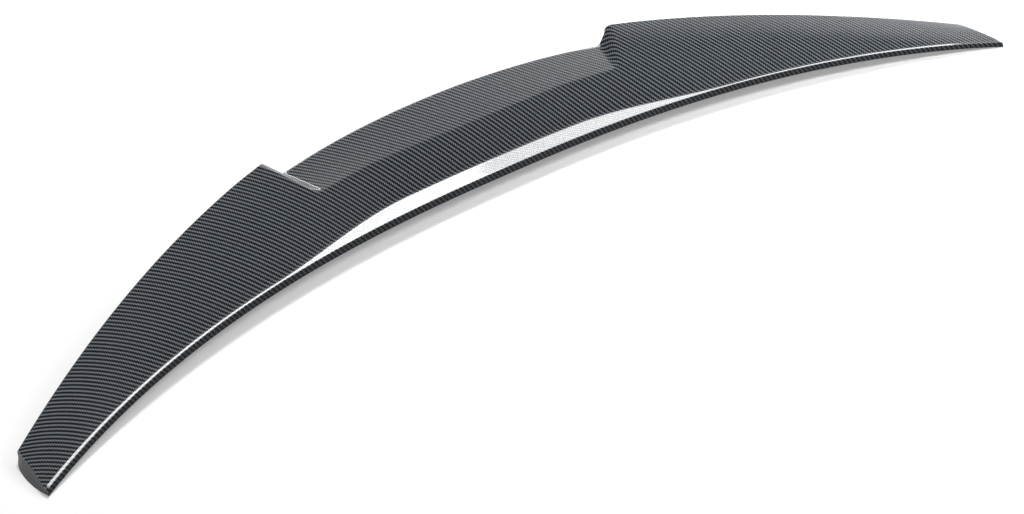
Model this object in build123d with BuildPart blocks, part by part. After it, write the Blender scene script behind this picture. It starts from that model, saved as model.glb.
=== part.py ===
from build123d import *
from math import cos, radians, sin, tan
import os

# Boot-lid spoiler: one closed moulding that lies on the rear edge of a car's boot lid and is bonded there.
# Millimetres. +X runs along the span, +Y points to the rear of the car, +Z is up.
# The origin is the centre of the footprint, on the plane that the rear foot stands on.

# Leading edge: swept forwards and bent down towards the tips
half_span = 600.0
lead_sweep = 131.5
lead_power = 2.4
lead_arch = 11.1
arch_power = 5.0
toe_clearance = 0.3

# Upright band along the leading edge, and the lip on top of it that widens in the middle
band_tip = 4.6
band_mid = 6.6
band_lean = 0.30
brow_round = 1.0
lip_wing = 4.5
lip_mid = 23.0
lip_angle = 3.0
lip_fade_in = 110.0
lip_fade_out = 290.0
ramp_foot_round = 8.0

# Ramp of the wings, up to the trailing crest and its rounded nose
crest_mid = 258.7
crest_tip = 53.1
crest_power = 1.9
crest_height = 78.3
crest_tip_height = 7.8
drop_power = 1.8
ramp_bulge = 0.035
nose_tip = 2.4
nose_mid = 6.0
nose_bulge = 0.45

# Hollowed rear face that leans back over the flat foot, and the stock that is cut off below the foot
overhang_mid = 40.2
overhang_tip = 0.5
foot_power = 2.1
foot_width = 14.0
foot_stock = 2.0
rear_hollow = 0.03

# Recess across the middle third, widening to the rear, with sloping shoulders
recess_half = 191.0
recess_flare = 0.34
recess_front = 180.0
recess_depth = 34.0
recess_slope = 0.155
recess_sag = 2.4
recess_twist = 0.15
shoulder_half = 224.0
shoulder_angle = 45.0
crest_set_back = 10.0
recess_base_round = 14.0
shoulder_round = 8.0
recess_edge_round = 2.0

# Tip ends: raked inwards to the rear, straight on top, swelling outwards towards the bottom
tip_rake = 6.0
tip_swell = 5.0
tip_height = 7.5

# Underside: relieved between the two bonding lands
land_front = 14.0
land_rear = 3.0
relief = 2.0
relief_end = 60.0

# Number of lofted sections, and how far tools reach past the moulding
body_section_count = 33
relief_section_count = 13
overrun = 9.0
tool_reach = 60.0

recess_height = crest_height - recess_depth
foot_mid = crest_mid - overhang_mid
foot_tip = crest_tip - overhang_tip
tip_back = half_span - tip_rake


def share(x):
    """Distance from the middle as a share of the half span."""
    return abs(x) / half_span


def lead_y(x):
    return lead_sweep * (1 - share(x) ** lead_power)


def lead_z(x):
    return toe_clearance + lead_arch * (1 - share(x) ** arch_power)


def band_height(x):
    return band_tip + (band_mid - band_tip) * (1 - share(x) ** 2)


def lip_width(x):
    """Narrow on the wings, widening smoothly towards the middle."""
    t = (abs(x) - lip_fade_in) / (lip_fade_out - lip_fade_in)
    t = min(max(t, 0), 1)
    return lip_mid + (lip_wing - lip_mid) * t * t * (3 - 2 * t)


def crest_y(x):
    """The crest line is drawn forwards between the shoulders, where the recess takes it away."""
    inner = max(1 - (x / shoulder_half) ** 2, 0)
    swept = crest_mid + (crest_tip - crest_mid) * share(x) ** crest_power
    return swept - crest_set_back * inner ** 2


def crest_z(x):
    return crest_height + (crest_tip_height - crest_height) * share(x) ** drop_power


def nose_height(x):
    return nose_tip + (nose_mid - nose_tip) * crest_z(x) / crest_height


def foot_y(x):
    return foot_mid + (foot_tip - foot_mid) * share(x) ** foot_power


def toe(x):
    return (lead_y(x), lead_z(x))


def brow(x):
    return (lead_y(x) + band_lean * band_height(x), lead_z(x) + band_height(x))


def ramp_foot(x):
    run = lip_width(x) * cos(radians(lip_angle))
    rise = lip_width(x) * sin(radians(lip_angle))
    return (brow(x)[0] + run, brow(x)[1] + rise)


def foot_front(x, z=0):
    return (foot_y(x) - foot_width, z)


def in_space(x, point):
    """Place a point of the section at x in space."""
    return (x, point[0], point[1])


def bowed(a, b, rise):
    """Middle of the line from a to b, lifted to its left by a share of its length."""
    return (
        (a[0] + b[0]) / 2 - (b[1] - a[1]) * rise,
        (a[1] + b[1]) / 2 + (b[0] - a[0]) * rise,
    )


def section_plane(x):
    return Plane(origin=(x, 0, 0), x_dir=(0, 1, 0), z_dir=(1, 0, 0))


def body_section(x):
    """Outline across the span at x: band, lip, ramp, nose, rear face, foot and underside."""
    nose = nose_height(x)
    crest = (crest_y(x) - nose * nose_bulge, crest_z(x))
    under = (crest[0], crest[1] - nose)
    heel = (foot_y(x), -foot_stock)
    with BuildSketch(section_plane(x)) as outline:
        with BuildLine():
            Line(toe(x), brow(x))
            Line(brow(x), ramp_foot(x))
            ThreePointArc(ramp_foot(x), bowed(ramp_foot(x), crest, ramp_bulge), crest)
            ThreePointArc(crest, bowed(crest, under, nose_bulge), under)
            ThreePointArc(under, bowed(under, heel, -rear_hollow), heel)
            Polyline(heel, foot_front(x, -foot_stock), foot_front(x), toe(x))
        make_face()
    return outline.sketch


def relief_section(x):
    """Outline of the relieved stretch of the underside at x, open downwards."""
    slope = lead_z(x) / (foot_front(x)[0] - lead_y(x))
    start = lead_y(x) + land_front
    end = foot_front(x)[0] - land_rear
    start_z = slope * (foot_front(x)[0] - start) + relief
    end_z = slope * land_rear + relief
    with BuildSketch(section_plane(x)) as outline:
        with BuildLine():
            Polyline((start, start_z), (end, end_z), (end, -lead_arch), (start, -lead_arch), close=True)
        make_face()
    return outline.sketch


def spread(reach, count):
    """Even stations from -reach to reach."""
    return [reach * (2 * i / (count - 1) - 1) for i in range(count)]


# Plan of the moulding as a tool: its ends swell at the bottom and run straight at the top edge
with BuildPart() as tip_tool:
    for level in (-tip_height, crest_height + tip_height):
        swell = tip_swell * (1 - level / tip_height)
        end_x = (half_span + tip_back) / 2 + swell
        front_x = 2 * half_span - tip_back
        back_y = crest_mid + tool_reach
        tip_chord = crest_y(tip_back) + nose_tip
        with BuildSketch(Plane.XY.offset(level)):
            with BuildLine():
                ThreePointArc((half_span, 0), (end_x, tip_chord / 2), (tip_back, tip_chord))
                Polyline((tip_back, tip_chord), (tip_back, back_y), (-tip_back, back_y), (-tip_back, tip_chord))
                ThreePointArc((-tip_back, tip_chord), (-end_x, tip_chord / 2), (-half_span, 0))
                Polyline((-half_span, 0), (-front_x, -tip_chord), (front_x, -tip_chord), (half_span, 0))
            make_face()
    loft(ruled=True)

# Recess as a tool: all that lies above the sunk facet, between two sloping shoulders
with BuildPart() as recess_tool:
    for y in (recess_front - tool_reach, crest_mid + tool_reach):
        level = recess_height + recess_slope * (y - recess_front)
        middle = level - recess_sag + recess_twist * (y - recess_front)
        top = level + crest_height
        half = recess_half + recess_flare * (y - recess_front)
        wide = half + crest_height / tan(radians(shoulder_angle))
        with BuildSketch(Plane.XZ.offset(-y)):
            with BuildLine():
                ThreePointArc((-half, level), (0, middle), (half, level))
                Polyline((half, level), (wide, top), (-wide, top), (-half, level))
            make_face()
    loft(ruled=True)
    base = in_space(recess_half, (recess_front, recess_height))
    base_edge = recess_tool.edges().sort_by_distance(base)[0]
    far_base = in_space(-recess_half, (recess_front, recess_height))
    far_base_edge = recess_tool.edges().sort_by_distance(far_base)[0]
    fillet([base_edge, far_base_edge], radius=recess_base_round)

with BuildPart() as moulding:
    loft(sections=[body_section(x) for x in spread(half_span + overrun, body_section_count)])

    # Flat foot, tip ends, the brow over the band, and the hollow where the lip runs into the ramp
    split(bisect_by=Plane.XY, keep=Keep.TOP)
    add(tip_tool.part, mode=Mode.INTERSECT)
    fillet(moulding.edges().sort_by_distance(in_space(0, brow(0)))[0], radius=brow_round)
    fillet(moulding.edges().sort_by_distance(in_space(0, ramp_foot(0)))[0], radius=ramp_foot_round)

    # Recess: first its rear edge, then the line that runs over both shoulders and the ridge
    add(recess_tool.part, mode=Mode.SUBTRACT)
    cut_edges = moulding.edges(Select.LAST)
    fillet(cut_edges.sort_by_distance((0, crest_mid, crest_height))[0], radius=recess_edge_round)
    ridge = in_space(0, (recess_front, recess_height))
    fillet(moulding.edges().sort_by_distance(ridge)[0], radius=shoulder_round)

    # Relieved stretch between the bonding lands
    loft(
        sections=[relief_section(x) for x in spread(half_span - relief_end, relief_section_count)],
        mode=Mode.SUBTRACT,
    )

# The moulding, centred front to back on the origin
with BuildPart() as spoiler:
    with Locations((0, -moulding.part.bounding_box().center().Y, 0)):
        add(moulding.part)

spoiler.part.label = "spoiler_body"
os.makedirs("parts", exist_ok=True)
export_step(spoiler.part, "parts/spoiler_body.step")
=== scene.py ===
from math import pi, radians, tan

import bpy
import numpy as np
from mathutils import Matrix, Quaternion, Vector


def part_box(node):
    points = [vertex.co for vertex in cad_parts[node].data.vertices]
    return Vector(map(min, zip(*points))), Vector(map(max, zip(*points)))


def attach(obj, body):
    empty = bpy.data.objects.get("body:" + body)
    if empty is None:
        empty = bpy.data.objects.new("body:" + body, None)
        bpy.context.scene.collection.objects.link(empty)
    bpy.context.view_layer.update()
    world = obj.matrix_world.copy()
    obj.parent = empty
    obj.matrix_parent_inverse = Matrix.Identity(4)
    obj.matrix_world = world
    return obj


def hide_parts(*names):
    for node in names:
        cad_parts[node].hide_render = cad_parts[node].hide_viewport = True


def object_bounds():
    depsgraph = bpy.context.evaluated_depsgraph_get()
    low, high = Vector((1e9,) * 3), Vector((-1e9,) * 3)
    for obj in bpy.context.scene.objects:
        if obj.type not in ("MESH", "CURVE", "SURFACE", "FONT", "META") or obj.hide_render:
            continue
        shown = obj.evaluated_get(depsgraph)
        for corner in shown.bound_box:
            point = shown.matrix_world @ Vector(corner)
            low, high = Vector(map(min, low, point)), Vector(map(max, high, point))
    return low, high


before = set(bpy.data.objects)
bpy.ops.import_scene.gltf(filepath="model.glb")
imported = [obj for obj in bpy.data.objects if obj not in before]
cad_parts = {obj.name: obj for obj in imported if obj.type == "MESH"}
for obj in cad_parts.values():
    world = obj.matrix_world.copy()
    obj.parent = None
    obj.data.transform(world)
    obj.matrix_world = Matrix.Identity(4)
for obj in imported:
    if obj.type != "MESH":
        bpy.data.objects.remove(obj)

# Boot-lid spoiler with a lacquered twill skin, in metres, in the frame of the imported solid.
# +X runs along the span, +Y points to the rear of the car, +Z is up.
cad_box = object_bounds()
front_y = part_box("spoiler_body")[0][1]

# Leading edge: swept forwards and bent down towards the tips
half_span = 0.600
lead_sweep = 0.1315
lead_power = 2.4
lead_arch = 0.0111
arch_power = 5.0
toe_clearance = 0.0003

# Upright band along the leading edge, and the lip on top of it
band_tip = 0.0046
band_mid = 0.0066
band_lean = 0.30
brow_round = 0.0010
lip_wing = 0.0045
lip_mid = 0.0230
lip_angle = radians(3.0)
lip_fade_in = 0.110
lip_fade_out = 0.290
ramp_foot_round = 0.008

# Ramp of the wings, the trailing crest and its rounded nose
crest_mid = 0.2587
crest_tip = 0.0531
crest_power = 1.9
crest_height = 0.0783
crest_tip_height = 0.0078
drop_power = 1.8
ramp_bulge = 0.035
nose_tip = 0.0024
nose_mid = 0.0060
nose_bulge = 0.45
nose_least = 0.20
nose_ease = 0.030

# Hollowed rear face and the foot under it
foot_mid = 0.2185
foot_tip = 0.0526
foot_power = 2.1
foot_width = 0.014
foot_stock = 0.002
rear_hollow = 0.03

# Recess across the middle, widening to the rear, between two sloping shoulders
recess_half = 0.191
recess_flare = 0.34
recess_front = 0.180
recess_height = 0.0443
recess_slope = 0.155
recess_sag = 0.0024
recess_twist = 0.15
shoulder_half = 0.224
shoulder_slope = tan(radians(45.0))
crest_set_back = 0.010
recess_base_reach = 0.0035
shoulder_round = 0.008
recess_edge_round = 0.002
corner_fade = 0.012

# Tip ends and the relieved underside
tip_rake = 0.006
tip_swell = 0.005
tip_height = 0.0075
tip_round = 0.0009
tip_corner = 0.0015
land_front = 0.014
land_rear = 0.003
relief = 0.002
relief_end = 0.060

# A small step for slopes and gaps, a floor for radii, and how often a bracket is halved
small = 1e-4
tiny = 1e-7
halvings = 45

# Columns of the grid: points in each run round the section, and columns of brow, ramp, rear edge and foot
band_points = 6
brow_points = 7
lip_points = 7
hollow_points = 8
ramp_points = 34
cap_points = 20
cap_power = 1.6
edge_points = 9
nose_part = 0.7
rear_points = 40
underside_points = (8, 4, 2, 22, 2, 12)
brow_column = band_points + brow_points // 2
brow_blend = 3
ramp_column = band_points + brow_points + lip_points + hollow_points
edge_column = ramp_column + ramp_points + cap_points + edge_points - 1
foot_column = edge_column + rear_points
crease_angle = radians(35)

# Rows of the grid: stations on each stretch of one half, closest at the shoulder, and rows at the tip
shoulder_start = 0.180
shoulder_end = 0.240
middle_stations = 36
shoulder_stations = 48
wing_stations = 67
wall_stations = 9
tip_start = 0.575
tip_row_count = 14
tip_turn_count = 7
dense_station_count = 97

# Cloth: the weave bends with the span around one far centre, laid at an angle to it
weave_radius = 1.813
weave_lay = radians(11.5)
tow_width = 0.00155
twill_repeat = 4.0
float_end_height = 0.35
warp_edge_tone = 0.25
weft_tone_share = 0.08
fibres_across = 9.0
fibres_along = 0.6
fibre_contrast = 0.5
weave_relief = 0.0002
# The weave's light colour is painted sheen: it stands in for the fibres' reflection on the tows on top
cloth_dark = (0.003, 0.003, 0.004, 1)
cloth_painted_sheen = (0.224, 0.250, 0.273, 1)
# Share of the tone left on the upright band: painted shade, as the band faces forwards and away from the
# lamps
band_painted_shade = 0.35
band_lacquer = 0.25

# Bare resin: the two colours of its mottle under the moulding and on the tip ends, and its grain
underside_dark = (0.012, 0.012, 0.013, 1)
underside_light = (0.030, 0.030, 0.031, 1)
tip_dark = (0.028, 0.029, 0.032, 1)
tip_light = (0.040, 0.041, 0.045, 1)
mottle_scale = 40.0
grain_scale = 1500.0
grain_relief = 0.0002


def smooth(t):
    """Smoothstep of t, held between 0 and 1."""
    t = np.clip(t, 0, 1)
    return t * t * (3 - 2 * t)


def soft_min(a, b, k):
    """The lower of a and b, less the square of how far they come within k of each other, over four k."""
    near = np.clip(k - np.abs(a - b), 0, None)
    return np.minimum(a, b) - near * near / (4 * k)


def share(x):
    """Distance from the middle as a share of the half span."""
    return np.abs(x) / half_span


# A point of the section at x is one complex number: y behind the tips' front corners, plus i times z.


def toe(x):
    """Lower front edge: set back and lifted in the middle, by powers of the share."""
    arch = toe_clearance + lead_arch * (1 - share(x) ** arch_power)
    return lead_sweep * (1 - share(x) ** lead_power) + 1j * arch


def brow(x):
    """Top of the band: over the toe by the band's height, leaning back with it."""
    band = band_tip + (band_mid - band_tip) * (1 - share(x) ** 2)
    return toe(x) + band * (band_lean + 1j)


def ramp_foot(x):
    """Rear edge of the lip, whose width fades by a smoothstep from the middle to the wings."""
    fade = smooth((np.abs(x) - lip_fade_in) / (lip_fade_out - lip_fade_in))
    return brow(x) + (lip_mid + (lip_wing - lip_mid) * fade) * np.exp(1j * lip_angle)


def crest_z(x):
    """Height of the crest: it falls from the middle to the tips by a power of the share."""
    return crest_height + (crest_tip_height - crest_height) * share(x) ** drop_power


def nose_height(x):
    """Height of the rounded nose: it grows in step with the crest's height."""
    return nose_tip + (nose_mid - nose_tip) * crest_z(x) / crest_height


def crest_y(x):
    """Rearmost line: swept by a power of the share, and drawn forwards between the shoulders."""
    inner = np.clip(1 - (x / shoulder_half) ** 2, 0, None)
    return crest_mid + (crest_tip - crest_mid) * share(x) ** crest_power - crest_set_back * inner ** 2


def crest(x):
    """Upper start of the nose, ahead of the rearmost line by the nose's bulge."""
    return crest_y(x) - nose_height(x) * nose_bulge + 1j * crest_z(x)


def foot_y(x):
    """Rear edge of the foot, swept by a power of the share."""
    return foot_mid + (foot_tip - foot_mid) * share(x) ** foot_power


def bowed(a, b, rise, t):
    """Line from a to b at share t, lifted to its left by a parabola of that rise."""
    return a + (b - a) * (t + 4j * rise * t * (1 - t))


def ramp(x, t):
    """Ramp at share t of its way from the lip to the crest, bowed by a parabola."""
    return bowed(ramp_foot(x), crest(x), ramp_bulge, t)


def ramp_z(x, y):
    """Height of the ramp over y: the parabola's share t is solved from y, then put back."""
    start = ramp_foot(x)
    chord = crest(x) - start
    bend = 4 * ramp_bulge * chord.imag
    lean = chord.real - bend
    run = y - start.real
    t = 2 * run / (lean + np.sqrt(np.maximum(lean * lean + 4 * bend * run, 0)))
    return ramp(x, t).imag


def tail(x, q):
    """Outline behind the crest: the nose as a circle's arc for q up to 1, then the rear face up to 2.

    The nose bulges less towards the shoulders.
    """
    height = nose_height(x)
    bulge = nose_least + (nose_bulge - nose_least) * smooth((np.abs(x) - shoulder_half) / nose_ease)
    half_turn = 2 * np.arctan(2 * bulge)
    radius = height * (0.25 + bulge ** 2) / (2 * bulge)
    centre = crest(x) + height * bulge - radius - 0.5j * height
    nose = centre + radius * np.exp(1j * half_turn * (1 - 2 * np.clip(q, 0, 1)))
    under = crest(x) - 1j * height
    heel = foot_y(x) - 1j * foot_stock
    return np.where(q < 1, nose, bowed(under, heel, -rear_hollow, np.clip(q - 1, 0, 1)))


def recess_z(x, y):
    """Height of the recess: a facet that climbs to the rear, arched across, between two slopes.

    Facet and slope meet in a parabola of the base's reach to each side.
    """
    run = y - recess_front
    half = recess_half + recess_flare * run
    arch = (recess_twist * run - recess_sag) * np.clip(1 - (x / half) ** 2, 0, None)
    out = np.abs(x) - half
    blend = (out + recess_base_reach) ** 2 / (4 * recess_base_reach)
    climb = np.where(np.abs(out) < recess_base_reach, blend, np.maximum(out, 0))
    return recess_height + recess_slope * run + arch + shoulder_slope * climb


def crossing(low, high, holds):
    """Halve the bracket from low to high until it closes on the place where holds stops being true."""
    for _ in range(halvings):
        middle = (low + high) / 2
        true_here = holds(middle)
        low = np.where(true_here, middle, low)
        high = np.where(true_here, high, middle)
    return (low + high) / 2


def rounded(before, corner, after, radius, count):
    """Circle's arc in a corner as a rational quadratic, its middle weighted by the cosine of half the turn.

    Gives the points of the arc and how far it reaches from the corner.
    """
    t = np.linspace(0, 1, count)
    back = (before - corner) / np.abs(before - corner)
    onward = (after - corner) / np.abs(after - corner)
    half_turn = (pi - np.arccos(np.clip((back * np.conj(onward)).real, -1, 1))) / 2
    reach = radius * np.tan(half_turn)
    first = (1 - t) ** 2
    middle = 2 * np.cos(half_turn) * t * (1 - t)
    last = t ** 2
    total = (corner + back * reach) * first + corner * middle + (corner + onward * reach) * last
    return total / (first + middle + last), reach


def ridge_share(x, start):
    """Share of the ramp where the recess cuts it; one on the wings, where the ramp reaches the crest."""
    return crossing(start, np.ones_like(x), lambda t: ramp(x, t).imag < recess_z(x, ramp(x, t).real))


def blend_depth(x, y):
    """Depth of the soft minimum: half the shoulder's radius times the squared slope of ramp over recess."""
    over = [ramp_z(a, b) - recess_z(a, b) for a, b in ((x, y), (x + small, y), (x, y + small))]
    slopes = ((over[1] - over[0]) ** 2 + (over[2] - over[0]) ** 2) / small ** 2
    return shoulder_round / 2 * slopes + tiny


def shoulder_x():
    """Where the rounding of the shoulder runs out over the crest."""
    near = np.array(recess_half)
    far = near + shoulder_half - recess_half + corner_fade

    def is_cut(s):
        top = crest(s)
        return recess_z(s, top.real) < top.imag + blend_depth(s, top.real)

    return crossing(near, far, is_cut)


def upper_half(x):
    """Outline from the toe over the top, at stations x: band, brow, lip, hollow, ramp, cap and rear edge.

    The ramp ends at the ridge, where the recess cuts it, or at the crest on the wings. The cap is the
    facet of the recess, or the start of the nose on the wings. Ramp and facet meet in a soft minimum.
    """
    brow_arc, _ = rounded(toe(x), brow(x), ramp_foot(x), brow_round, brow_points)
    hollow, hollow_reach = rounded(brow(x), ramp_foot(x), ramp(x, small), ramp_foot_round, hollow_points)
    band = toe(x) + (brow_arc[:, :1] - toe(x)) * np.linspace(0, 1, band_points, endpoint=False)
    lip_start = brow_arc[:, -1:]
    lip = lip_start + (hollow[:, :1] - lip_start) * np.linspace(0, 1, lip_points + 2)[1:-1]

    start = hollow_reach / np.abs(crest(x) - ramp_foot(x))
    ridge = ridge_share(x, start)
    ridge_y = ramp(x, ridge).real
    depth = blend_depth(x, ridge_y)
    rise = ramp(x, start + (ridge - start) * (1 - np.linspace(1, 0, ramp_points + 1)[1:] ** 2))
    rise = rise.real + 1j * soft_min(rise.imag, recess_z(x, rise.real), depth)

    def top_z(y):
        """Height of the top over y: the soft minimum of ramp and recess."""
        return soft_min(ramp_z(x, y), recess_z(x, y), depth)

    def stands_over(q):
        """Whether the tail at q still lies above the top."""
        return tail(x, q).imag > top_z(tail(x, q).real)

    beyond = x - shoulder_x()
    is_cut = beyond < 0
    edge = crossing(np.zeros_like(x), np.full_like(x, 2), stands_over)
    edge = np.where(is_cut, edge, smooth(beyond / corner_fade))
    corner = tail(x, edge)
    top_slope = (top_z(corner.real) - top_z(corner.real - small)) / small
    radius = recess_edge_round * smooth(-beyond / corner_fade) + tiny
    ahead = corner - 1 - 1j * top_slope
    edge_arc, edge_reach = rounded(ahead, corner, tail(x, edge + small), radius, edge_points)
    along = np.linspace(0, 1, cap_points + 2)[1:-1] ** cap_power
    facet_y = ridge_y + (edge_arc[:, :1].real - ridge_y) * along
    cap = np.where(is_cut, facet_y + 1j * top_z(facet_y), tail(x, edge * along * nose_part))
    edge_arc = np.where(is_cut, edge_arc, tail(x, edge * np.linspace(nose_part, 1, edge_points)))
    leave = edge + np.where(is_cut, edge_reach / np.abs(crest(x) - foot_y(x)), 0)
    return np.hstack([band, brow_arc, lip, hollow, rise, cap, edge_arc]), leave


def lower_half(x, leave):
    """Outline from the rear edge back to the toe, at stations x: rear face, then straight runs below.

    The runs are the foot, the rear land, the relieved stretch between two steps, and the front land.
    """
    heel = crossing(np.ones_like(x), np.full_like(x, 2), lambda q: tail(x, q).imag > 0)
    rear = tail(x, leave + (heel - leave) * np.linspace(0, 1, rear_points + 1)[1:])
    sunk = 1j * relief * (x < half_span - relief_end)
    foot_front = foot_y(x) - foot_width + 0j
    along = (toe(x) - foot_front) / (foot_front - toe(x)).real
    land_end = foot_front + along * land_rear
    land_start = toe(x) - along * land_front
    starts = [rear[:, -1:], foot_front, land_end, land_end + sunk, land_start + sunk, land_start]
    ends = starts[1:] + [toe(x)]
    runs = [
        start + (end - start) * np.linspace(0, 1, count + 1)[1:]
        for start, end, count in zip(starts, ends, underside_points)
    ]
    return np.hstack([rear] + runs)


def outline(x):
    """Whole outline at stations x, as y and z, from the toe round to the toe again."""
    top, leave = upper_half(x)
    loop = np.hstack([top, lower_half(x, leave)])
    return np.maximum(loop.real, 0), np.clip(loop.imag, 0, cad_box[1][2])


def tip_x(y, z):
    """Half span at a point of the tip end: raked inwards to the rear, swelling out towards the bottom.

    The swell is a parabola along the chord. Over the last quarter a smoothstep draws the rear corner in.
    """
    chord = crest_y(half_span - tip_rake) + nose_tip
    along = np.clip(y / chord, 0, 1)
    swell = 4 * along * (1 - along) * tip_swell * (1 - z / tip_height)
    return half_span - tip_rake * along + swell - tip_corner * smooth(4 * along - 3)


def tip_rows():
    """Rows between the last plain station and the tip end, found on dense sections.

    Each column is followed outwards until it meets the tip end. The first rows share that way out evenly,
    and the last ones turn down by a quarter of a circle over the end, less so towards the floor.
    """
    dense = np.linspace(tip_start, half_span + 2 * tip_rake, dense_station_count)[:, None]
    y, z = outline(dense)
    inside = dense < tip_x(y, z)
    last = inside.sum(0) - 1
    column = np.arange(y.shape[1])
    here = dense[last, 0] - tip_x(y, z)[last, column]
    there = dense[last + 1, 0] - tip_x(y, z)[last + 1, column]
    reach = last + here / (here - there)
    step = dense[1, 0] - dense[0, 0]
    turn = np.concatenate([np.zeros(tip_row_count), np.linspace(0, pi / 2, tip_turn_count)[1:]])[:, None]
    way = np.concatenate([np.linspace(0, 1, tip_row_count + 1)[1:], np.ones(tip_turn_count - 1)])[:, None]
    place = (reach - tip_round / step) * way + tip_round / step * np.sin(turn)
    low = np.floor(place).astype(int)
    part = place - low
    x = tip_start + place * step
    y, z = [a[low, column] * (1 - part) + a[low + 1, column] * part for a in (y, z)]
    return x, y, z - tip_round * (1 - np.cos(turn)) * smooth(z / band_tip)


def moulding_grid():
    """The whole skin as x, y and z, with rows along the span and columns round the section.

    One half is worked out and mirrored about the middle.
    """
    wall = half_span - relief_end
    plain = np.concatenate([
        np.linspace(0, shoulder_start, middle_stations, endpoint=False),
        np.linspace(shoulder_start, shoulder_end, shoulder_stations, endpoint=False),
        np.linspace(shoulder_end, wall - small, wing_stations),
        np.linspace(wall + small, tip_start, wall_stations),
    ])[:, None]
    y, z = outline(plain)
    x_tip, y_tip, z_tip = tip_rows()
    x = np.vstack([np.broadcast_to(plain, y.shape), x_tip])
    y = np.vstack([y, y_tip])
    z = np.vstack([z, z_tip])
    return np.vstack([-x[:0:-1], x]), np.vstack([y[:0:-1], y]), np.vstack([z[:0:-1], z])


def weave_places(x, y, z):
    """Where each point lies in the cloth: angle times radius round a far centre, and distance from its arc.

    Over the top the distance is taken in plan. Down the band and round the back it runs on by the
    outline's length.
    """
    centre = toe(np.zeros(1)).real[0] - weave_radius
    along = weave_radius * np.arctan2(x, y - centre)
    plan = np.hypot(x, y - centre) - weave_radius
    step = np.hypot(np.diff(y, axis=1), np.diff(z, axis=1))
    length = np.hstack([np.zeros((len(x), 1)), np.cumsum(step, axis=1)])
    column = np.arange(x.shape[1])
    down = plan[:, brow_column, None] + length - length[:, brow_column, None]
    round_back = plan[:, edge_column, None] + length - length[:, edge_column, None]
    across = np.where(column < brow_column, down, np.where(column > edge_column, round_back, plan))
    return np.stack([along, across], axis=-1)


def zipped(top, bottom, top_y, bottom_y):
    """Triangles that close a tip end: both edges are walked to the rear, and each step makes one."""
    reached = [np.maximum.accumulate(a)[1:] for a in (top_y, bottom_y)]
    order = np.argsort(np.concatenate(reached), kind="stable")
    on_top = order < len(top) - 1
    at_top = np.cumsum(on_top)
    at_bottom = np.cumsum(~on_top)
    return np.where(
        on_top[:, None],
        np.stack([top[at_top - 1], top[at_top], bottom[at_bottom]], axis=1),
        np.stack([top[at_top], bottom[at_bottom], bottom[at_bottom - 1]], axis=1),
    )


def spoiler_mesh():
    """One closed skin: the grid's quads round the section, and a zipped end at each tip."""
    x, y, z = moulding_grid()
    places = weave_places(x, y, z)
    rows, columns = x.shape[0], x.shape[1] - 1
    points = np.stack([x, y + front_y, z], axis=-1)[:, :-1].reshape(-1, 3)
    row, column = np.meshgrid(np.arange(rows - 1), np.arange(columns), indexing="ij")
    following = (column + 1) % columns
    quads = np.stack([
        row * columns + column, (row + 1) * columns + column,
        (row + 1) * columns + following, row * columns + following,
    ], axis=-1).reshape(-1, 4)
    quad_places = np.stack([
        places[row, column], places[row + 1, column], places[row + 1, column + 1], places[row, column + 1],
    ], axis=2).reshape(-1, 2)

    ends = []
    top = np.arange(edge_column + 1)
    bottom = np.concatenate([[0], np.arange(columns - 1, edge_column - 1, -1)])
    for end_row, turned in ((0, 1), (rows - 1, -1)):
        triangles = zipped(top, bottom, y[end_row, top], y[end_row, bottom])[:, ::turned]
        is_whole = np.all(np.diff(np.sort(triangles, axis=1), axis=1) > 0, axis=1)
        ends.append(triangles[is_whole] + end_row * columns)
    ends = np.concatenate(ends)
    flat = points[ends.ravel()]
    end_places = np.stack([np.sign(flat[:, 0]) * (half_span - flat[:, 2]), flat[:, 1] - front_y], axis=-1)

    mesh = bpy.data.meshes.new("spoiler_skin")
    mesh.from_pydata(points.tolist(), [], quads.tolist() + ends.tolist())
    layer = mesh.uv_layers.new(name="weave")
    layer.uv.foreach_set("vector", np.concatenate([quad_places, end_places]).astype(np.float32).ravel())
    slot = np.concatenate([np.where(column.ravel() < foot_column, 0, 1), np.full(len(ends), 2)])
    mesh.polygons.foreach_set("material_index", slot.astype(np.int32))
    # The band mask carries the painted shade of the upright band, and its thinner lacquer
    on_band = np.clip((brow_column - np.arange(columns)) / brow_blend, 0, 1)
    band = mesh.attributes.new("band", "FLOAT", "POINT")
    band.data.foreach_set("value", np.tile(on_band, rows).astype(np.float32))
    mesh.shade_smooth()
    mesh.set_sharp_from_angle(angle=crease_angle)
    return mesh


def add(tree, kind, **settings):
    """New node of that kind, with its plain settings set by name."""
    node = tree.nodes.new(kind)
    for name, value in settings.items():
        setattr(node, name, value)
    return node


def feed(tree, node, *sources):
    """Join the sources to the node's inputs in order: a socket is linked, a plain value is set."""
    for socket, source in zip(node.inputs, sources):
        if isinstance(source, bpy.types.NodeSocket):
            tree.links.new(source, socket)
        elif source is not None:
            socket.default_value = source
    return node.outputs[0]


def reckon(tree, operation, *sources):
    """One Math node on the sources."""
    return feed(tree, add(tree, "ShaderNodeMath", operation=operation), *sources)


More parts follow.
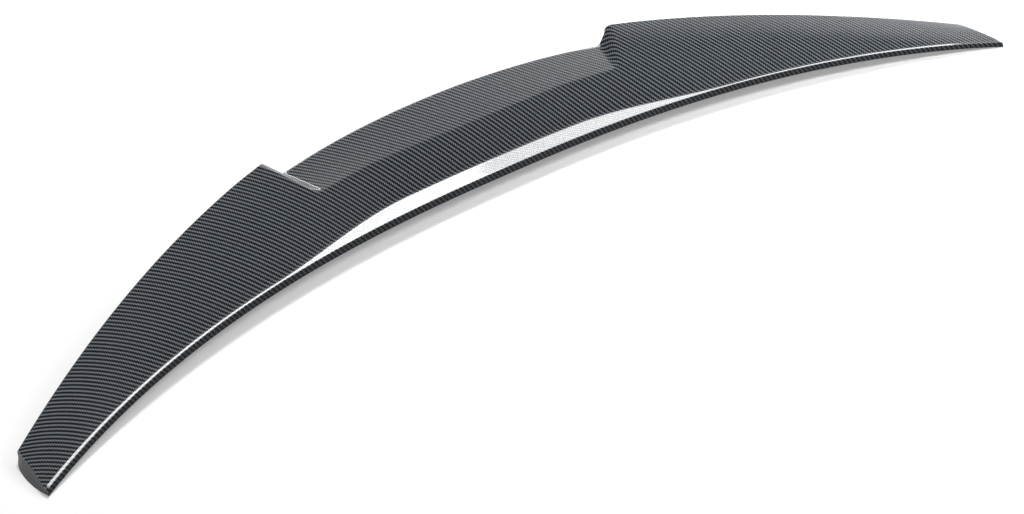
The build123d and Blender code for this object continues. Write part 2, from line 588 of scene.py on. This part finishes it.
def twill_group():
    """Two-over-two twill from a place in the cloth: how high each tow stands, and how light its painted
    sheen is.

    The place is turned to the lay and counted in tows, a along and b across. Warp a lies on top where
    the sum of its number and b, taken modulo four, is under two, and else the weft does. A tow's height
    is a sine across it times a sine along its float. Fine noise drawn out along the tow gives the fibres.
    The tone is painted sheen: the warp on top is painted light and the weft dark, each lighter on its
    crown, standing in for the fibres' reflection.
    """
    tree = bpy.data.node_groups.new("twill_weave", "ShaderNodeTree")
    tree.interface.new_socket("Place", in_out="INPUT", socket_type="NodeSocketVector")
    for name in ("Tow Width", "Lay"):
        tree.interface.new_socket(name, in_out="INPUT", socket_type="NodeSocketFloat")
    for name in ("Tone", "Height"):
        tree.interface.new_socket(name, in_out="OUTPUT", socket_type="NodeSocketFloat")
    inside = add(tree, "NodeGroupInput")
    outside = add(tree, "NodeGroupOutput")

    turned = add(tree, "ShaderNodeVectorRotate", rotation_type="Z_AXIS")
    tree.links.new(inside.outputs["Place"], turned.inputs["Vector"])
    tree.links.new(inside.outputs["Lay"], turned.inputs["Angle"])
    counted = add(tree, "ShaderNodeSeparateXYZ")
    tree.links.new(turned.outputs[0], counted.inputs[0])
    tows = [reckon(tree, "DIVIDE", counted.outputs[i], inside.outputs["Tow Width"]) for i in (0, 1)]
    number = [reckon(tree, "FLOOR", tow) for tow in tows]
    within = [reckon(tree, "FRACT", tow) for tow in tows]

    def float_share(number_of_tow, run):
        """Share of the four-tow repeat, from 0 to 2."""
        total = reckon(tree, "ADD", number_of_tow, run)
        repeats = reckon(tree, "DIVIDE", total, twill_repeat)
        return reckon(tree, "MULTIPLY", reckon(tree, "FRACT", repeats), 2.0)

    def crown(across, along):
        """Sine across the tow times a raised sine along its float."""
        side = reckon(tree, "SINE", reckon(tree, "MULTIPLY", across, pi))
        lift = reckon(tree, "SINE", reckon(tree, "MULTIPLY", along, pi))
        raised = reckon(tree, "MULTIPLY_ADD", lift, 1 - float_end_height, float_end_height)
        return reckon(tree, "MULTIPLY", side, raised)

    def fibres(*scales):
        """Noise drawn out along the tow, by one scale for each way of the cloth."""
        stretch = add(tree, "ShaderNodeCombineXYZ")
        feed(tree, stretch, *[reckon(tree, "MULTIPLY", tow, scale) for tow, scale in zip(tows, scales)])
        grain = add(tree, "ShaderNodeTexNoise", noise_dimensions="2D")
        tree.links.new(stretch.outputs[0], grain.inputs["Vector"])
        grain.inputs["Scale"].default_value = 1.0
        grain.inputs["Detail"].default_value = 1.0
        return grain.outputs[0]

    warp_share = float_share(number[0], tows[1])
    weft_share = float_share(number[1], tows[0])
    is_warp = reckon(tree, "LESS_THAN", warp_share, 1.0)
    warp_crown = crown(within[0], warp_share)
    weft_crown = crown(within[1], reckon(tree, "SUBTRACT", weft_share, 1.0))
    # Painted sheen: the weft on top is painted near dark, the warp light, and each tow lighter on its crown
    # than at its edges
    weft_tone = reckon(tree, "MULTIPLY", weft_crown, weft_tone_share)
    warp_tone = reckon(tree, "MULTIPLY_ADD", warp_crown, 1 - warp_edge_tone, warp_edge_tone)
    weft_fibres = fibres(fibres_along, fibres_across)
    warp_fibres = fibres(fibres_across, fibres_along)

    def choose(weft, warp):
        """The weft's or the warp's value, whichever lies on top."""
        mix = add(tree, "ShaderNodeMix", data_type="FLOAT")
        return feed(tree, mix, is_warp, None, weft, warp)

    grain = choose(weft_fibres, warp_fibres)
    shade = reckon(tree, "MULTIPLY_ADD", grain, fibre_contrast, 1 - fibre_contrast / 2)
    tree.links.new(reckon(tree, "MULTIPLY", choose(weft_tone, warp_tone), shade), outside.inputs["Tone"])
    tree.links.new(choose(weft_crown, warp_crown), outside.inputs["Height"])
    return tree


def lacquered_twill():
    """Charcoal twill under clear gloss lacquer, with painted sheen on the tows, and painted shade and less
    lacquer on the upright band.
    """
    material = bpy.data.materials.new("lacquered_twill")
    material.use_nodes = True
    tree = material.node_tree
    shader = tree.nodes["Principled BSDF"]
    shader.inputs["Specular IOR Level"].default_value = 0.0
    shader.inputs["Coat Roughness"].default_value = 0.06
    place = add(tree, "ShaderNodeUVMap", uv_map="weave")
    weave = add(tree, "ShaderNodeGroup", node_tree=twill_group())
    feed(tree, weave, place.outputs[0], tow_width, weave_lay)

    # The colour runs from the dark cloth to the painted sheen by the weave's tone
    colour = add(tree, "ShaderNodeMix", data_type="RGBA")
    colour.inputs["A"].default_value = cloth_dark
    colour.inputs["B"].default_value = cloth_painted_sheen
    band = add(tree, "ShaderNodeAttribute", attribute_name="band").outputs["Fac"]
    # Painted shade: the tone is lowered on the upright band
    shade = reckon(tree, "MULTIPLY_ADD", band, band_painted_shade - 1, 1.0)
    tree.links.new(reckon(tree, "MULTIPLY", weave.outputs["Tone"], shade), colour.inputs["Factor"])
    lacquer = reckon(tree, "MULTIPLY_ADD", band, band_lacquer - 1, 1.0)
    tree.links.new(lacquer, shader.inputs["Coat Weight"])
    tree.links.new(colour.outputs["Result"], shader.inputs["Base Color"])
    roughness = add(tree, "ShaderNodeMapRange")
    roughness.inputs["To Min"].default_value = 0.44
    roughness.inputs["To Max"].default_value = 0.34
    tree.links.new(weave.outputs["Height"], roughness.inputs["Value"])
    tree.links.new(roughness.outputs[0], shader.inputs["Roughness"])
    bump = add(tree, "ShaderNodeBump")
    bump.inputs["Strength"].default_value = 0.25
    bump.inputs["Distance"].default_value = weave_relief
    tree.links.new(weave.outputs["Height"], bump.inputs["Height"])
    tree.links.new(bump.outputs[0], shader.inputs["Normal"])
    return material


def plain_resin(name, dark, light, smoothest, roughest):
    """Resin without cloth: slightly mottled between two colours, with a fine grain."""
    material = bpy.data.materials.new(name)
    material.use_nodes = True
    tree = material.node_tree
    shader = tree.nodes["Principled BSDF"]
    place = add(tree, "ShaderNodeTexCoord")
    mottle = add(tree, "ShaderNodeTexNoise")
    mottle.inputs["Scale"].default_value = mottle_scale
    grain = add(tree, "ShaderNodeTexNoise")
    grain.inputs["Scale"].default_value = grain_scale
    for noise in (mottle, grain):
        tree.links.new(place.outputs["Object"], noise.inputs["Vector"])
    colour = add(tree, "ShaderNodeMix", data_type="RGBA")
    colour.inputs["A"].default_value = dark
    colour.inputs["B"].default_value = light
    tree.links.new(mottle.outputs[0], colour.inputs["Factor"])
    tree.links.new(colour.outputs["Result"], shader.inputs["Base Color"])
    roughness = add(tree, "ShaderNodeMapRange")
    roughness.inputs["To Min"].default_value = smoothest
    roughness.inputs["To Max"].default_value = roughest
    tree.links.new(grain.outputs[0], roughness.inputs["Value"])
    tree.links.new(roughness.outputs[0], shader.inputs["Roughness"])
    bump = add(tree, "ShaderNodeBump")
    bump.inputs["Strength"].default_value = 0.3
    bump.inputs["Distance"].default_value = grain_relief
    tree.links.new(grain.outputs[0], bump.inputs["Height"])
    tree.links.new(bump.outputs[0], shader.inputs["Normal"])
    return material


# Studio: a white floor, strips, a key and a soft glow behind the object, a low fill, and a near side lamp
floor_half = 30.0
floor_flat = 22.0
floor_rise = 14.0
floor_steps = 60
floor_colour = (0.80, 0.80, 0.80, 1)
floor_lift = 0.25
lift_near = 0.62
lift_far = 1.25
world_level = 0.06
glow_level = 1.1
glow_aim = (0.720, 0.400, 0.565)
glow_edge = 0.915
lamp_distance = 6.0
side_distance = 1.05
camera_place = Vector((-1.290895, -1.320618 + front_y, 1.099791))
camera_aim = Vector((0.568660, 0.637461, -0.519873))
focal_pixels = 2300.0
image_width = 1024
sensor_width = 36.0


def seen_directly(tree):
    """One where a ray comes from the camera, a mirror-like surface or glass, and else nought."""
    path = add(tree, "ShaderNodeLightPath")
    total = reckon(tree, "MAXIMUM", path.outputs["Is Camera Ray"], path.outputs["Is Glossy Ray"])
    return reckon(tree, "MAXIMUM", total, path.outputs["Is Transmission Ray"])


def floor():
    """Square on a grid, flat in the middle and climbing by a smoothstep at its rim.

    Its white comes partly from a glow that only camera, mirrors and glass see: full at a distance, and part
    of it near the object.
    """
    side = np.linspace(-floor_half, floor_half, floor_steps + 1)
    x, y = np.meshgrid(side, side, indexing="ij")
    out = (np.maximum(np.abs(x), np.abs(y)) - floor_flat) / (floor_half - floor_flat)
    points = np.stack([x, y, floor_rise * smooth(out)], axis=-1).reshape(-1, 3)
    i, j = np.meshgrid(np.arange(floor_steps), np.arange(floor_steps), indexing="ij")
    corner = i * (floor_steps + 1) + j
    across = corner + floor_steps + 1
    quads = np.stack([corner, across, across + 1, corner + 1], axis=-1).reshape(-1, 4)
    mesh = bpy.data.meshes.new("floor")
    mesh.from_pydata(points.tolist(), [], quads.tolist())
    piece = bpy.data.objects.new("floor", mesh)
    bpy.context.scene.collection.objects.link(piece)
    material = bpy.data.materials.new("white_floor")
    material.use_nodes = True
    tree = material.node_tree
    shader = tree.nodes["Principled BSDF"]
    shader.inputs["Base Color"].default_value = floor_colour
    shader.inputs["Roughness"].default_value = 1.0
    shader.inputs["Specular IOR Level"].default_value = 0.0
    shader.inputs["Emission Color"].default_value = (1, 1, 1, 1)
    away = add(tree, "ShaderNodeVectorMath", operation="LENGTH")
    tree.links.new(add(tree, "ShaderNodeTexCoord").outputs["Object"], away.inputs[0])
    lift = add(tree, "ShaderNodeMapRange", interpolation_type="SMOOTHSTEP")
    feed(tree, lift, away.outputs["Value"], lift_near, lift_far, floor_lift, 1.0)
    seen_lift = reckon(tree, "MULTIPLY", seen_directly(tree), lift.outputs[0])
    tree.links.new(seen_lift, shader.inputs["Emission Strength"])
    mesh.materials.append(material)


def backdrop():
    """World: a dim even light with one soft glow behind the object."""
    world = bpy.data.worlds.new("studio")
    bpy.context.scene.world = world
    world.use_nodes = True
    tree = world.node_tree
    towards = add(tree, "ShaderNodeVectorMath", operation="DOT_PRODUCT")
    tree.links.new(add(tree, "ShaderNodeTexCoord").outputs["Generated"], towards.inputs[0])
    towards.inputs[1].default_value = glow_aim
    glow = add(tree, "ShaderNodeMapRange", interpolation_type="SMOOTHSTEP")
    tree.links.new(towards.outputs["Value"], glow.inputs["Value"])
    glow.inputs["From Min"].default_value = glow_edge
    glow.inputs["To Min"].default_value = world_level
    glow.inputs["To Max"].default_value = world_level + glow_level
    tree.links.new(glow.outputs[0], tree.nodes["Background"].inputs["Strength"])
    tree.nodes["Background"].inputs["Color"].default_value = (1, 1, 1, 1)


def softbox(name, way, width, height, watts, roll=0.0, distance=lamp_distance):
    """Rectangular lamp in the direction of way, facing the origin, rolled about its own axis."""
    lamp = bpy.data.lights.new(name, "AREA")
    lamp.shape = "RECTANGLE"
    lamp.size = width
    lamp.size_y = height
    lamp.energy = watts
    piece = bpy.data.objects.new(name, lamp)
    piece.location = Vector(way).normalized() * distance
    turn = Vector(way).to_track_quat("Z", "Y") @ Quaternion((0, 0, 1), roll)
    piece.rotation_euler = turn.to_euler()
    bpy.context.scene.collection.objects.link(piece)
    return piece


def camera():
    """Camera of the photograph's view, with its focal length counted in pixels of the image."""
    data = bpy.data.cameras.new("camera")
    data.sensor_width = sensor_width
    data.lens = focal_pixels * sensor_width / image_width
    piece = bpy.data.objects.new("camera", data)
    piece.location = camera_place
    piece.rotation_euler = camera_aim.to_track_quat("-Z", "Y").to_euler()
    bpy.context.scene.collection.objects.link(piece)
    bpy.context.scene.camera = piece


skin = spoiler_mesh()
spoiler = bpy.data.objects.new("spoiler", skin)
bpy.context.scene.collection.objects.link(spoiler)
skin.materials.append(lacquered_twill())
underside = plain_resin("bare_underside", underside_dark, underside_light, smoothest=0.55, roughest=0.75)
tip_resin = plain_resin("tip_resin", tip_dark, tip_light, smoothest=0.30, roughest=0.45)
skin.materials.append(underside)
skin.materials.append(tip_resin)
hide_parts("spoiler_body")
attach(spoiler, "root")

floor()
backdrop()
softbox("strip_left", (0.389, 0.639, 0.664), width=2.51, height=0.6, watts=60, roll=radians(28.0))
softbox("strip_right", (0.697, 0.524, 0.489), width=2.06, height=0.6, watts=28.5, roll=radians(40.8))
for lamp in (
    softbox("key", (0.391, 0.559, 0.731), width=0.95, height=0.95, watts=245),
    softbox("fill", (-0.81, -0.47, 0.34), width=2.4, height=2.4, watts=135),
    softbox("side", (0.62, -0.30, 0.75), width=0.5, height=0.5, watts=5.5, distance=side_distance),
):
    lamp.visible_glossy = False
    lamp.visible_camera = False
camera()
bpy.context.scene.view_settings.view_transform = "Standard"
